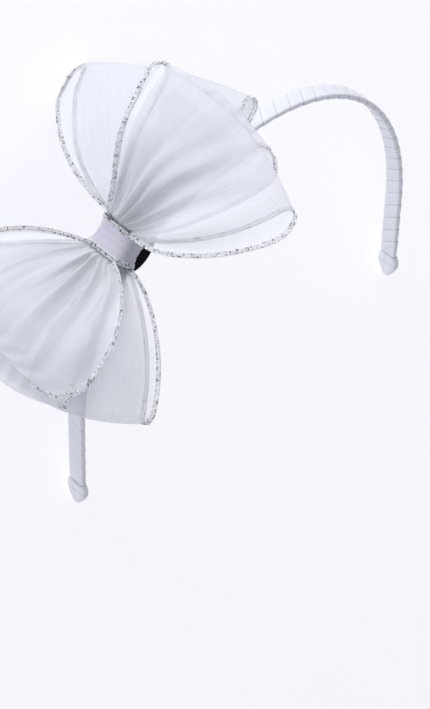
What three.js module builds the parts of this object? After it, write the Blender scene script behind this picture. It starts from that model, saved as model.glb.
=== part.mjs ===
// Bow headband: a narrow sprung band wound in white satin ribbon, with a bow of
// silver-edged organza ribbon tied on over its wearer's right side.
//
// The band lies on its rear side, as it comes to rest on a table: +X runs to the
// wearer's left, +Y to the crown of the arch and +Z up, to the wearer's front.
// The organza loops behind the band prop the bow up, so the arch leans a little.
// Sizes are in millimetres and angles in degrees.

import * as THREE from 'three';

// The arch of the band, measured to the middle of the strip: a full oval over the
// head, from its widest level up, and straight legs below that level
const archHalfSpan = 67;
const archCrownRise = 77.7;
const archFullness = 2.1;
const legLength = 36;

// The wound strip
const stripWidth = 5.8;
const stripThickness = 1.6;
const stripCorner = 0.45;
const turnPitch = 5.6;
const turnSlant = 4.2;
const turnStep = 0.2;
const turnLap = 0.3;

// The folded satin end caps, and the gap between each two pieces
const capLength = 10;
const capWidth = 7.8;
const capThickness = 2.6;
const fitGap = 0.3;

// The oval felt pad that the bow sits on
const padLength = 18;
const padWidth = 14;
const padThickness = 1;
const padSteps = 14;
const padEndTrim = 0.94;

// The bow: where its knot sits on the arch and the ribbon that it is tied from
const knotAngle = 40;
const ribbonWall = 1;
const ribbonEdgeWall = 1.5;
const gatheredWall = 0.8;
const loopReach = 55;
const pinchWidth = 9.2;
const pinchArch = 0.9;
const knotLength = 7.8;
const knotWall = 1;
const knotSaddle = 0.6;
const knotRoom = 0.6;
const knotSteps = 32;
const knotFullness = 0.58;
const loopRise = 18;
const loopDroop = 5;
const tierGap = 0.45;
const tierParting = 1.8;
const pleatDepth = 0.28;
const pleatCount = 4;

// How the loops open, as shares of their reach: where they stand fully open and how
// gently they start, where the tiers have parted, how far the two layers close up
// before the fold, the fold's depth, how soon the pleats fade and where the ribbon
// is out of the knot's grip
const openShare = 0.62;
const openEase = 1.6;
const partShare = 0.03;
const closeShare = 0.28;
const foldDepth = 0.045;
const pleatFade = 6;
const gripShare = 0.3;

// Share of the weight that is in the bow, for the way the whole comes to rest
const bowWeightShare = 0.6;

// One row for each tier. Its floor and roof are the heights of its loops' two
// layers when they have opened out, as shares of loopRise, and its ripples are
// shallow waves across the layer over the hollow, counted and measured in mm. Its
// press is how far the table pushes its lowest loop up, in mm.
// One row for each corner of a loop, where one of its silver edges turns round the
// fold: at an angle from the band's line towards the rear and at a reach. The bows
// are how far the edge curves outward between knot and corner, as a share of its
// length, in the layer over the loop's hollow and in the layer under it. The swing
// is how much greater the corner's angle is in the layer over the hollow, and the
// round is how deep the edge's hairpin is, as a share of its length.
// The reaches and the fold's bulge are shares of loopReach.
const tiers = [
  {
    name: 'bow_tier_back', floor: -0.03, roof: 0.32, ripples: 3, rippleDepth: 0.35, press: 4.4,
    upper: {
      rear: { angle: 55.3, reach: 1.044, bowOver: 0.12, bowUnder: 0.162, swing: 5.3, round: 0.059 },
      front: { angle: -10, reach: 1.004, bowOver: 0.122, bowUnder: 0.081, swing: 2.6, round: 0.059 },
      bulge: 0.06,
    },
    lower: {
      rear: { angle: 22, reach: 1, bowOver: 0.08, bowUnder: 0.08, swing: 3, round: 0.055 },
      front: { angle: -45, reach: 0.945, bowOver: 0.18, bowUnder: 0.088, swing: -5.9, round: 0.056 },
      bulge: 0.11,
    },
  },
  {
    name: 'bow_tier_middle', floor: 0.365, roof: 0.5, ripples: 2, rippleDepth: 0.3, press: 1.1,
    upper: {
      rear: { angle: 16, reach: 0.93, bowOver: 0.05, bowUnder: 0.05, swing: 3, round: 0.055 },
      front: { angle: -32.8, reach: 0.972, bowOver: 0.075, bowUnder: 0.083, swing: 15.7, round: 0.061 },
      bulge: 0.06,
    },
    lower: {
      rear: { angle: 31.5, reach: 0.98, bowOver: 0.06, bowUnder: 0.06, swing: 3, round: 0.055 },
      front: { angle: -20, reach: 0.89, bowOver: 0.05, bowUnder: 0.05, swing: -4, round: 0.055 },
      bulge: 0.1,
    },
  },
  {
    name: 'bow_tier_front', floor: 0.55, roof: 0.9, ripples: 3, rippleDepth: 1, press: 0.5,
    upper: {
      rear: { angle: 10.4, reach: 0.922, bowOver: -0.037, bowUnder: -0.023, swing: 4.9, round: 0.065 },
      front: { angle: -53.3, reach: 1.134, bowOver: 0.129, bowUnder: 0.119, swing: -8.9, round: 0.088 },
      bulge: 0.09,
    },
    lower: {
      rear: { angle: 48.8, reach: 0.75, bowOver: 0.151, bowUnder: 0.04, swing: -1.2, round: 0.05 },
      front: { angle: -21.8, reach: 0.833, bowOver: 0.303, bowUnder: -0.048, swing: -23.4, round: 0.065 },
      bulge: 0.08,
    },
  },
];

// Stations along one layer of a loop, as shares of its run to the fold, and the turn
// round the fold, in degrees from the layer under the hollow to the layer over it
const layerStations = [0, 0.1, 0.22, 0.36, 0.51, 0.66, 0.8, 0.92];
const foldTurns = [-65, -32, 0, 32, 65];
const acrossSteps = 12;

// Share of the curve's sweep that runs down each leg
const legSweep = 0.12;

const degrees = THREE.MathUtils.degToRad;
const towardsFront = new THREE.Vector3(0, 0, 1);

// The arch as a curve from its right end over the crown to its left end
class ArchCurve extends THREE.Curve {
  getPoint(share, target = new THREE.Vector3()) {
    const side = share < 0.5 ? -1 : 1;
    const fromEnd = Math.min(share, 1 - share);
    if (fromEnd < legSweep) {
      return target.set(side * archHalfSpan, -legLength * (1 - fromEnd / legSweep), 0);
    }
    const turn = Math.PI / 2 * (0.5 - fromEnd) / (0.5 - legSweep);
    const swell = 2 / archFullness;
    return target.set(
      side * archHalfSpan * Math.sin(turn) ** swell,
      archCrownRise * Math.cos(turn) ** swell,
      0,
    );
  }
}

const arch = new ArchCurve();
arch.arcLengthDivisions = 600;
const archLength = arch.getLength();

// The place, direction and outward side of the arch at a distance from its right end
function archFrame(distance) {
  const share = THREE.MathUtils.clamp(distance / archLength, 0, 1);
  const point = arch.getPointAt(share);
  const along = arch.getTangentAt(share);
  const outward = new THREE.Vector3().crossVectors(along, towardsFront).negate();
  return { point, along, outward };
}

// A point beside the arch: across counts towards the wearer's front
function besideArch(distance, across, out) {
  const { point, outward } = archFrame(distance);
  return point.addScaledVector(outward, out).addScaledVector(towardsFront, across);
}

// A closed mesh from its corners and faces, turned so that its faces point out
function solid(points, faces) {
  let volume = 0;
  for (const [a, b, c] of faces) {
    const cross = new THREE.Vector3().crossVectors(points[b], points[c]);
    volume += points[a].dot(cross);
  }
  const order = volume < 0 ? faces.map(([a, b, c]) => [a, c, b]) : faces;
  const geometry = new THREE.BufferGeometry();
  const places = points.flatMap((point) => [point.x, point.y, point.z]);
  geometry.setAttribute('position', new THREE.Float32BufferAttribute(places, 3));
  geometry.setIndex(order.flat());
  geometry.computeVertexNormals();
  return geometry;
}

// Faces between rings of equal length; row and column wrap round where asked
function gridFaces(rows, columns, wrapRows, wrapColumns, first = 0) {
  const faces = [];
  const lastRow = wrapRows ? rows : rows - 1;
  const lastColumn = wrapColumns ? columns : columns - 1;
  for (let row = 0; row < lastRow; row += 1) {
    for (let column = 0; column < lastColumn; column += 1) {
      const nextRow = (row + 1) % rows;
      const nextColumn = (column + 1) % columns;
      const a = first + row * columns + column;
      const b = first + row * columns + nextColumn;
      const c = first + nextRow * columns + nextColumn;
      const d = first + nextRow * columns + column;
      faces.push([a, b, c], [a, c, d]);
    }
  }
  return faces;
}

// A bar lofted through closed rings, with a flat end at each end
function loft(rings) {
  const count = rings[0].length;
  const faces = gridFaces(rings.length, count, false, true);
  const last = (rings.length - 1) * count;
  for (let corner = 1; corner < count - 1; corner += 1) {
    faces.push([0, corner + 1, corner], [last, last + corner, last + corner + 1]);
  }
  return solid(rings.flat(), faces);
}

// A sleeve: an outer and an inner skin through closed rings, joined at both ends
function sleeve(outerRings, innerRings) {
  const rows = outerRings.length;
  const count = outerRings[0].length;
  const inner = rows * count;
  const outerFaces = gridFaces(rows, count, false, true);
  const innerFaces = gridFaces(rows, count, false, true, inner).map(([a, b, c]) => [a, c, b]);
  const ends = [];
  for (const [row, flip] of [[0, false], [rows - 1, true]]) {
    for (let corner = 0; corner < count; corner += 1) {
      const a = row * count + corner;
      const b = row * count + (corner + 1) % count;
      const quad = flip ? [[a, b, inner + b], [a, inner + b, inner + a]]
        : [[b, a, inner + a], [b, inner + a, inner + b]];
      ends.push(...quad);
    }
  }
  const points = [...outerRings.flat(), ...innerRings.flat()];
  return solid(points, [...outerFaces, ...innerFaces, ...ends]);
}

// Corners of a strip's section with cut corners, as across and outward offsets
function stripSection(width, thickness, corner) {
  const side = width / 2;
  const face = thickness / 2;
  const cut = Math.min(corner, side / 2, face / 2);
  return [
    [side - cut, face], [-side + cut, face], [-side, face - cut], [-side, -face + cut],
    [-side + cut, -face], [side - cut, -face], [side, -face + cut], [side, face - cut],
  ];
}

// The wound strip: each turn of satin starts a step proud of the turn before and
// sinks to the strip's own thickness where the next turn laps it. The laps slant.
function woundBand() {
  const start = capLength;
  const woundLength = archLength - 2 * capLength;
  const turns = Math.max(1, Math.round(woundLength / turnPitch));
  const pitch = woundLength / turns;
  const rings = [];
  const ring = (distance, lift) => {
    const fromEnd = Math.min(distance - start, start + woundLength - distance);
    const slant = turnSlant * Math.min(1, fromEnd / turnSlant);
    const section = stripSection(stripWidth + lift, stripThickness + 2 * lift, stripCorner);
    rings.push(section.map(([across, out]) => {
      const shift = -slant * across / stripWidth;
      return besideArch(distance + shift, across, out);
    }));
  };
  for (let turn = 0; turn < turns; turn += 1) {
    ring(start + turn * pitch, turnStep);
    ring(start + (turn + 1) * pitch - turnLap, 0);
  }
  ring(start + woundLength, 0);
  return loft(rings);
}

// One row for each section of an end cap, from its rounded tip: the place along
// the cap, the width and the thickness, as shares of the cap's own sizes
const capSections = [
  { place: 0, width: 0.22, thickness: 0.5 },
  { place: 0.05, width: 0.45, thickness: 0.8 },
  { place: 0.16, width: 0.72, thickness: 0.95 },
  { place: 0.35, width: 0.93, thickness: 1 },
  { place: 0.58, width: 1, thickness: 1 },
  { place: 0.8, width: 0.9, thickness: 0.98 },
  { place: 1, width: 0.76, thickness: 0.9 },
];

function endCap(isLeft) {
  const reach = capLength - fitGap;
  const rings = capSections.map(({ place, width, thickness }) => {
    const fromEnd = place * reach;
    const distance = isLeft ? archLength - fromEnd : fromEnd;
    const section = stripSection(capWidth * width, capThickness * thickness, stripCorner);
    return section.map(([across, out]) => besideArch(distance, across, out));
  });
  return loft(rings);
}

// The knot's own frame: its place on the arch, the band's line towards the crown,
// the outward side and the way to the wearer's rear
const knotShare = 0.5 - (0.5 - legSweep) * knotAngle / 90;
const knotPlace = arch.getPoint(knotShare);
const knotDistance = archLength * arcShare(knotShare);
const knotFrame = archFrame(knotDistance);
const towardsRear = towardsFront.clone().negate();

// Share of the arch's length that lies before a share of its sweep
function arcShare(sweep) {
  const lengths = arch.getLengths();
  const place = sweep * (lengths.length - 1);
  const before = Math.floor(place);
  const rest = place - before;
  const next = Math.min(before + 1, lengths.length - 1);
  const length = lengths[before] * (1 - rest) + lengths[next] * rest;
  return length / archLength;
}

function fromKnot(along, rearward, out) {
  return knotPlace.clone()
    .addScaledVector(knotFrame.along, along)
    .addScaledVector(towardsRear, rearward)
    .addScaledVector(knotFrame.outward, out);
}

// The oval felt pad on the strip's outer face under the knot, curved as it is
const padFloor = stripThickness / 2 + turnStep + fitGap;
const padTop = padFloor + padThickness;

function feltPad() {
  const rings = [];
  for (let step = 0; step <= padSteps; step += 1) {
    const place = Math.sin(Math.PI * (step / padSteps - 0.5) * padEndTrim);
    const width = padWidth * Math.sqrt(1 - place * place);
    const distance = knotDistance + place * padLength / 2;
    const middle = (padFloor + padTop) / 2;
    const section = stripSection(width, padThickness, padThickness / 4);
    rings.push(section.map(([across, out]) => besideArch(distance, across, middle + out)));
  }
  return loft(rings);
}

// Height over the arch's line of the middle of each ribbon layer in the knot
const layerPitch = gatheredWall + fitGap;
const knotFloor = padTop + fitGap;
const lowestLayer = knotFloor + knotSaddle + knotWall + fitGap + gatheredWall / 2 + pinchArch
  + pleatDepth;

function layerInKnot(tierIndex, isOver) {
  const layer = 2 * tierIndex + (isOver ? 1 : 0);
  return lowestLayer + layer * layerPitch + tierIndex * (tierGap - fitGap);
}

const highestLayer = layerInKnot(tiers.length - 1, true);

// The gathered ribbon's crown and pleats in the knot, the same in every layer
function gather(across) {
  return -pinchArch * across * across + pleatDepth * Math.cos(pleatCount * Math.PI * across);
}

// Where the ribbon leaves the knot, just clear of the wrap's end
const pinchEnd = knotLength / 2 + 2 * fitGap;

// How far a loop has opened at a share of its reach, easing out of the knot
function opening(share) {
  const run = Math.min(share / openShare, 1);
  return Math.sin(Math.PI / 2 * run) ** openEase;
}

// A point on a loop's ribbon. Run goes from 0 at the knot to 1 at the fold,
// across from -1 at the front edge to 1 at the rear edge, and turn from -90
// degrees in the layer under the hollow to 90 degrees in the layer over it.
function loopPoint(tierIndex, isUpper, run, across, turn) {
  const tier = tiers[tierIndex];
  const row = isUpper ? tier.upper : tier.lower;
  const way = isUpper ? 1 : -1;
  const over = (1 + Math.sin(degrees(turn))) / 2;
  const corner = ({ angle, reach, swing }) => {
    const direction = degrees(angle + swing * (over - 0.5));
    return new THREE.Vector2(way * Math.cos(direction), Math.sin(direction))
      .multiplyScalar(reach * loopReach);
  };
  const rear = corner(row.rear);
  const front = corner(row.front);
  const middle = rear.clone().add(front).multiplyScalar(0.5);
  const fold = middle.clone().addScaledVector(rear.clone().sub(front), across / 2)
    .addScaledVector(middle.clone().normalize(), row.bulge * loopReach * (1 - across * across));
  const start = new THREE.Vector2(way * pinchEnd, across * pinchWidth / 2);
  const chord = fold.clone().sub(start);
  const sideways = new THREE.Vector2(-way * chord.y, way * chord.x);
  const nearer = across > 0 ? row.rear : row.front;
  const bow = (nearer.bowUnder + (nearer.bowOver - nearer.bowUnder) * over) * across;
  const depth = foldDepth + (nearer.round - foldDepth) * Math.abs(across) ** 3;
  const share = run * (1 - depth * (1 - Math.cos(degrees(turn))));
  const place = start.clone().addScaledVector(chord, share)
    .addScaledVector(sideways, bow * 4 * share * (1 - share));

  const beyondEnd = Math.max(Math.abs(place.x) - pinchEnd, 0);
  const beyondSide = Math.max(Math.abs(place.y) - pinchWidth / 2, 0);
  const spread = Math.hypot(beyondEnd, beyondSide) / (loopReach - pinchEnd);
  const lift = opening(spread) * loopRise;
  const parting = tierIndex * tierParting * Math.min(spread / partShare, 1);
  const floor = layerInKnot(tierIndex, false) + parting + tier.floor * lift;
  const roof = layerInKnot(tierIndex, true) + parting + tier.roof * lift;
  const closing = closeShare * share ** 3 * (roof - floor);
  const height = (floor + closing) * (1 - over) + (roof - closing) * over;
  const droop = loopDroop * spread * spread;
  const pleats = gather(across) * (1 - share) ** pleatFade;
  const ripple = tier.rippleDepth * Math.sin(tier.ripples * Math.PI * across + tierIndex)
    * Math.sin(Math.PI * share) ** 2 * over;
  return fromKnot(place.x, place.y, height - droop + pleats + ripple);
}

// One lobe's rows across the ribbon, from the knot out along the layer under the
// hollow, round the fold and back along the layer over it
function lobeRows(tierIndex, isUpper) {
  const stations = [
    ...layerStations.map((share) => ({ share, turn: -90 })),
    ...foldTurns.map((turn) => ({ share: 1, turn })),
    ...layerStations.map((share) => ({ share, turn: 90 })).reverse(),
  ];
  return stations.map(({ share, turn }) => ({
    share,
    points: acrossPlaces.map((across) => loopPoint(tierIndex, isUpper, share, across, turn)),
  }));
}

// Places across the ribbon, closer together towards its edges
const acrossPlaces = Array.from({ length: acrossSteps + 1 }, (_, step) => (
  Math.sin(Math.PI * (step / acrossSteps - 0.5))
));

// A tier is one ribbon ring: out to the upper fold, back over the knot, out to
// the lower fold and back under the knot
function tierRows(tierIndex) {
  return [...lobeRows(tierIndex, true), ...lobeRows(tierIndex, false).reverse()];
}

// How far the ribbon is out of the knot's grip at a share of its loop's reach
function freed(share) {
  return Math.min(share / gripShare, 1);
}

// Thickness of the ribbon: thinner where it is gathered in the knot, and rolled
// thicker along its two edges
function ribbonThickness(share, isEdge) {
  return gatheredWall + ((isEdge ? ribbonEdgeWall : ribbonWall) - gatheredWall) * freed(share);
}

// A ribbon's wall round its rows: a skin each side, joined along both edges. The
// skins lie square to the ribbon, but in the knot they lie one above the other
// in the direction that the layers are stacked in. Where the lower skin would
// reach below the table, the wall lies flat on it.
function ribbonWallRound(rows, stacking) {
  const count = rows.length;
  const columns = acrossPlaces.length;
  const outer = [];
  const inner = [];
  rows.forEach(({ share, points }, index) => {
    const before = rows[(index + count - 1) % count].points;
    const after = rows[(index + 1) % count].points;
    points.forEach((point, column) => {
      const left = points[Math.max(column - 1, 0)];
      const right = points[Math.min(column + 1, columns - 1)];
      const normal = new THREE.Vector3().crossVectors(
        after[column].clone().sub(before[column]),
        right.clone().sub(left),
      ).normalize();
      const stacked = stacking.clone().multiplyScalar(Math.sign(normal.dot(stacking)));
      normal.lerp(stacked, 1 - freed(share));
      const half = ribbonThickness(share, column === 0 || column === columns - 1) / 2;
      const above = point.clone().addScaledVector(normal, half);
      const below = point.clone().addScaledVector(normal, -half);
      const lift = Math.max(-above.z, -below.z, 0);
      above.z += lift;
      below.z += lift;
      outer.push(above);
      inner.push(below);
    });
  });
  const size = count * columns;
  const outerFaces = gridFaces(count, columns, true, false);
  const innerFaces = gridFaces(count, columns, true, false, size).map(([a, b, c]) => [a, c, b]);
  const edges = [];
  for (let row = 0; row < count; row += 1) {
    const next = (row + 1) % count;
    const last = columns - 1;
    const a = row * columns;
    const b = next * columns;
    edges.push([a, b, size + b], [a, size + b, size + a]);
    const c = row * columns + last;
    const d = next * columns + last;
    edges.push([c, size + d, d], [c, size + c, size + d]);
  }
  return solid([...outer, ...inner], [...outerFaces, ...innerFaces, ...edges]);
}

// The centre wrap: a ring of ribbon round the gathered tiers, seated on the pad.
// Its section across the band is an oval with full corners.
function centreWrap() {
  const lowest = knotFloor + knotSaddle;
  const highest = highestLayer + gatheredWall / 2 + pleatDepth + fitGap + knotWall;
  const halfWidth = pinchWidth / 2 + gatheredWall / 2 + fitGap + knotWall + knotRoom;
  const halfHeight = (highest - lowest) / 2;
  const middle = (highest + lowest) / 2;
  const oval = (angle, trim, growth) => {
    const swell = (value) => Math.sign(value) * Math.abs(value) ** knotFullness;
    const rearward = (halfWidth + growth - trim) * swell(Math.cos(angle));
    const out = middle + (halfHeight + growth - trim) * swell(Math.sin(angle));
    return { rearward, out };
  };
  const places = [-1, -0.5, 0, 0.5, 1];
  const ringAt = (place, trim) => Array.from({ length: knotSteps }, (_, step) => {
    const growth = knotSaddle * place * place;
    const { rearward, out } = oval(2 * Math.PI * step / knotSteps, trim, growth);
    return fromKnot(place * knotLength / 2, rearward, out);
  });
  const outer = places.map((place) => ringAt(place, 0));
  const inner = places.map((place) => ringAt(place, knotWall));
  return sleeve(outer, inner);
}

const white = 0xeef0f6;
const satin = new THREE.MeshStandardMaterial({ color: white, roughness: 0.35, metalness: 0 });
const satinFold = new THREE.MeshStandardMaterial({ color: 0xe2e3ea, roughness: 0.4, metalness: 0 });
const felt = new THREE.MeshStandardMaterial({ color: 0x17171a, roughness: 0.95, metalness: 0 });
const knotRibbon = new THREE.MeshStandardMaterial({ color: 0xd5d5e0, roughness: 0.6, metalness: 0 });
const organza = new THREE.MeshStandardMaterial({ color: 0xe9ebf4, roughness: 0.7, metalness: 0 });

function piece(name, geometry, material) {
  const mesh = new THREE.Mesh(geometry, material);
  mesh.name = name;
  return mesh;
}

// The stiff pieces and the knot, in the arch's own frame
const stiffPieces = [
  piece('wound_band', woundBand(), satin),
  piece('end_cap_right', endCap(false), satinFold),
  piece('end_cap_left', endCap(true), satinFold),
  piece('bow_backing', feltPad(), felt),
  piece('centre_wrap', centreWrap(), knotRibbon),
];

// Corners of a geometry as points
function cornersOf(geometry) {
  const places = geometry.getAttribute('position');
  return Array.from({ length: places.count }, (_, index) => (
    new THREE.Vector3().fromBufferAttribute(places, index)
  ));
}

function average(points) {
  return points.reduce((sum, point) => sum.add(point), new THREE.Vector3())
    .divideScalar(points.length);
}

// The largest value of a function with one hump between two ends
function humpTop(value, low, high) {
  const golden = (Math.sqrt(5) - 1) / 2;
  let [from, to] = [low, high];
  for (let round = 0; round < 40; round += 1) {
    const first = to - golden * (to - from);
    const second = from + golden * (to - from);
    if (value(first) < value(second)) {
      from = first;
    } else {
      to = second;
    }
  }
  return (from + to) / 2;
}

// The table top under the piece: of all planes that no point reaches below, the
// one that is highest under the centre of weight. The slopes are rise per run.
function tableUnder(points, centre) {
  const level = (slopeX, slopeY) => points.reduce((lowest, point) => Math.min(
    lowest, point.z - slopeX * (point.x - centre.x) - slopeY * (point.y - centre.y),
  ), Infinity);
  const steepest = 1;
  const bestSlopeY = (slopeX) => humpTop((slopeY) => level(slopeX, slopeY), -steepest, steepest);
  const slopeX = humpTop((slope) => level(slope, bestSlopeY(slope)), -steepest, steepest);
  const slopeY = bestSlopeY(slopeX);
  const height = level(slopeX, slopeY);
  return {
    normal: new THREE.Vector3(-slopeX, -slopeY, 1).normalize(),
    point: new THREE.Vector3(centre.x, centre.y, height),
  };
}

const looseTiers = tiers.map((_, index) => tierRows(index));
const bandPoints = stiffPieces.slice(0, 3).flatMap((mesh) => cornersOf(mesh.geometry));
const tierPoints = looseTiers.map((rows) => rows.flatMap((row) => row.points));
const bowPoints = tierPoints.flat();
const centreOfWeight = average(bandPoints).multiplyScalar(1 - bowWeightShare)
  .addScaledVector(average(bowPoints), bowWeightShare);
const pressed = tierPoints.flatMap((points, index) => (
  points.map((point) => point.clone().addScaledVector(towardsFront, tiers[index].press))
));
const table = tableUnder([...bandPoints, ...pressed], centreOfWeight);

// Stands the table level and brings it to height 0
const levelling = new THREE.Quaternion().setFromUnitVectors(table.normal, towardsFront);
const dropToTable = -table.point.clone().applyQuaternion(levelling).z;

function ontoTable(point) {
  const placed = point.clone().applyQuaternion(levelling);
  placed.z += dropToTable;
  return placed;
}

const resting = new THREE.Group();
resting.quaternion.copy(levelling);
resting.position.z = dropToTable;
resting.add(...stiffPieces);

const headband = new THREE.Group();
headband.add(resting);
const stacking = knotFrame.outward.clone().applyQuaternion(levelling);
looseTiers.forEach((rows, index) => {
  const placed = rows.map(({ share, points }) => ({ share, points: points.map(ontoTable) }));
  const geometry = ribbonWallRound(placed, stacking);
  headband.add(piece(tiers[index].name, geometry, organza));
});

// The origin goes to the middle of the footprint, at the table
headband.updateMatrixWorld(true);
const extent = new THREE.Box3().setFromObject(headband, true);
const footprintMiddle = extent.getCenter(new THREE.Vector3());
headband.position.set(-footprintMiddle.x, -footprintMiddle.y, -extent.min.z);

export default headband;
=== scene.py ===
"""Bow headband: a band wound in white satin with a bow of silver-edged organza.

The shapes are worked out in millimetres in the arch's own frame, +X to the wearer's
left, +Y to the crown and +Z to the wearer's front, and then laid down on the table
as the frame lies.
"""

import bmesh
import bpy
import numpy as np
from bpy.props import FloatProperty, FloatVectorProperty, IntProperty, PointerProperty
from mathutils import Matrix, Vector


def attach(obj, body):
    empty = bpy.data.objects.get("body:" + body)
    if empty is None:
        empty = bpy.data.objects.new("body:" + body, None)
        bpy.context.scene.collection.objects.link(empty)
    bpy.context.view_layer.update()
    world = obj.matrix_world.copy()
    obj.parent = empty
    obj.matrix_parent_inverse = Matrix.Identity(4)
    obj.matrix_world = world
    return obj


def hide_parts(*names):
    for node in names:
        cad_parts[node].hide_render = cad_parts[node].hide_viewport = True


bl_info = {
    "name": "Bow headband",
    "version": (1, 0, 0),
    "blender": (4, 5, 0),
    "location": "3D View > Sidebar > Headband",
    "description": "Satin-wound headband with a bow of silver-edged organza",
    "category": "Add Mesh",
}

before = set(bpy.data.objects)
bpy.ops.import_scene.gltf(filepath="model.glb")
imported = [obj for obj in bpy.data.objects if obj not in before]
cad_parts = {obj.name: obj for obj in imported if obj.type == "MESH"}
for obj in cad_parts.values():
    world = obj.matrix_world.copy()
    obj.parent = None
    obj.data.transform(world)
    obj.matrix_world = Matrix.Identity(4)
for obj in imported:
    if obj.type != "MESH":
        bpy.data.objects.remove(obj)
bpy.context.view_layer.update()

MM = 0.001

# How the arch lies on the table: turned up about X, then moved, in mm
REST_TILT = np.radians(18.5762)
REST_SHIFT = np.array([12.2445, -38.0394, 13.8249])

# The arch, the strip, the pad and the knot, in mm
ARCH_HALF_SPAN = 67.0
ARCH_CROWN_RISE = 77.7
ARCH_FULLNESS = 2.1
LEG_LENGTH = 36.0
LEG_SWEEP = 0.12
STRIP_WIDTH = 5.8
STRIP_THICKNESS = 1.6
STRIP_CORNER = 0.45
TURN_STEP = 0.2
CAP_LENGTH = 10.0
CAP_WIDTH = 7.8
CAP_THICKNESS = 2.6
FIT_GAP = 0.3
PAD_LENGTH = 18.0
PAD_WIDTH = 14.0
PAD_THICKNESS = 1.0
KNOT_ANGLE = 40.0
GATHERED_WALL = 0.8
PINCH_WIDTH = 9.2
PINCH_ARCH = 0.9
KNOT_LENGTH = 7.8
KNOT_WALL = 1.0
KNOT_SADDLE = 0.6
KNOT_ROOM = 0.6
KNOT_FULLNESS = 0.58
TIER_GAP = 0.45
TIER_PARTING = 1.8
PLEAT_DEPTH = 0.28
PLEAT_COUNT = 4

# How the loops open, as shares of their reach
OPEN_SHARE = 0.62
OPEN_EASE = 1.6
PART_SHARE = 0.03
CLOSE_SHARE = 0.28
FOLD_DEPTH = 0.045
PLEAT_FADE = 6
PLEAT_PEAK = 0.15
# Share of the run over which painted light makes the organza paler near the knot
KNOT_LIGHT_SHARE = 0.3

# The fine pleats: half waves across the ribbon, and depths as shares of the pleat depth
BROAD_COUNT = 5.4
BROAD_DEPTH = 1.05
NARROW_COUNT = 11.3
NARROW_DEPTH = 0.55
CREASE_COUNT = 9
CREASE_DEPTH = 0.12

# How finely the ribbons are meshed
LAYER_ROWS = 54
FOLD_ROWS = 25
TIER_COLUMNS = 85
EDGE_EASE = 0.985
WRAP_ROWS = 160
WRAP_COLUMNS = 49
STITCH_STEPS = 12

# The winding: rows of one turn, the share of a turn where it laps the one before, and
# the share from which painted shade darkens it as it sinks towards the next
TURN_ROWS = 18
LAP_SHARE = 0.05
SINK_START = 0.86

# Painted shade of creases in each turn: place and width as shares of the turn, and how dark the shade
# is
TURN_CREASE_SHADES = ((0.4, 0.025, 0.3), (0.66, 0.03, 0.2))

# The folded caps: widths and depths, as shares of the cap's, at places from their tip
CAP_PLACES = (0, 0.05, 0.16, 0.35, 0.58, 0.8, 1)
CAP_WIDTHS = (0.08, 0.2, 0.44, 0.76, 0.98, 1, 0.82)
CAP_DEPTHS = (0.4, 0.8, 0.95, 1, 1, 0.98, 0.9)
HEM_PLACE = 0.66
HEM_DEPTH = 0.1

# The strip of organza folded round the knot, in metres
WRAP_CHART_WIDTH = 0.012

# The weaves' pitches, in metres
ORGANZA_PITCH = 0.00035
SATIN_PITCH = 0.0004

# The camera, as the photograph was taken: degrees, millimetres and pixels
VIEW_AZIMUTH = -46.1
VIEW_HEIGHT = 48.4
VIEW_ROLL = 2.1
VIEW_DISTANCE = 1000.0
SENSOR_HEIGHT = 24.0
PHOTO_HEIGHT = 709
FOCAL_LENGTH = 3314
SHIFT_LEFT = 25.2
SHIFT_DOWN = 47.7

# The lamp, in metres and watts: how far it is to the viewer's right, up and back
LAMP_WAY = (-0.5, 0.85, 0.52)
LAMP_DISTANCE = 1.1
LAMP_SIZE = 0.9
LAMP_POWER = 27.5
BOW_HEIGHT = 0.04
WORLD_STRENGTH = 0.54
FLOOR_HALF = 3

# One row for each tier: heights of its loops' two layers as shares of the rise, and
# the ripples of the layer over the hollow. One row for each corner of a loop, where a
# silver edge turns round the fold: its angle and reach, how far the edge bows out in
# the layers over and under the hollow, how much the angle swings between them and how
# deep its hairpin is.
TIERS = [
    {
        "node": "bow_tier_back", "floor": -0.03, "roof": 0.32, "ripples": 3, "ripple_depth": 0.35,
        "upper": {
            "rear": dict(angle=56, reach=1.022, over=0.12, under=0.162, swing=5.3, round=0.042),
            "front": dict(angle=-10, reach=1.004, over=0.122, under=0.081, swing=2.6, round=0.059),
            "bulge": 0.06,
        },
        "lower": {
            "rear": dict(angle=22, reach=1, over=0.08, under=0.08, swing=3, round=0.055),
            "front": dict(angle=-45, reach=0.945, over=0.18, under=0.088, swing=-5.9, round=0.056),
            "bulge": 0.11,
        },
    },
    {
        "node": "bow_tier_middle", "floor": 0.365, "roof": 0.5, "ripples": 2, "ripple_depth": 0.3,
        "upper": {
            "rear": dict(angle=16, reach=0.93, over=0.05, under=0.05, swing=3, round=0.055),
            "front": dict(angle=-33.2, reach=1, over=0.075, under=0.083, swing=11.6, round=0.06),
            "bulge": 0.06,
        },
        "lower": {
            "rear": dict(angle=31.5, reach=0.98, over=0.06, under=0.06, swing=3, round=0.055),
            "front": dict(angle=-20, reach=0.89, over=0.05, under=0.05, swing=-4, round=0.055),
            "bulge": 0.1,
        },
    },
    {
        "node": "bow_tier_front", "floor": 0.55, "roof": 0.9, "ripples": 3, "ripple_depth": 1,
        "upper": {
            "rear": dict(angle=10.4, reach=0.922, over=-0.037, under=-0.023, swing=4.9, round=0.065),
            "front": dict(angle=-53.3, reach=1.134, over=0.129, under=0.119, swing=-8.9, round=0.088),
            "bulge": 0.09,
        },
        "lower": {
            "rear": dict(angle=48.8, reach=0.75, over=0.151, under=0.04, swing=-1.2, round=0.05),
            "front": dict(angle=-21.8, reach=0.833, over=0.303, under=-0.048, swing=-23.4, round=0.065),
            "bulge": 0.08,
        },
    },
]


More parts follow.
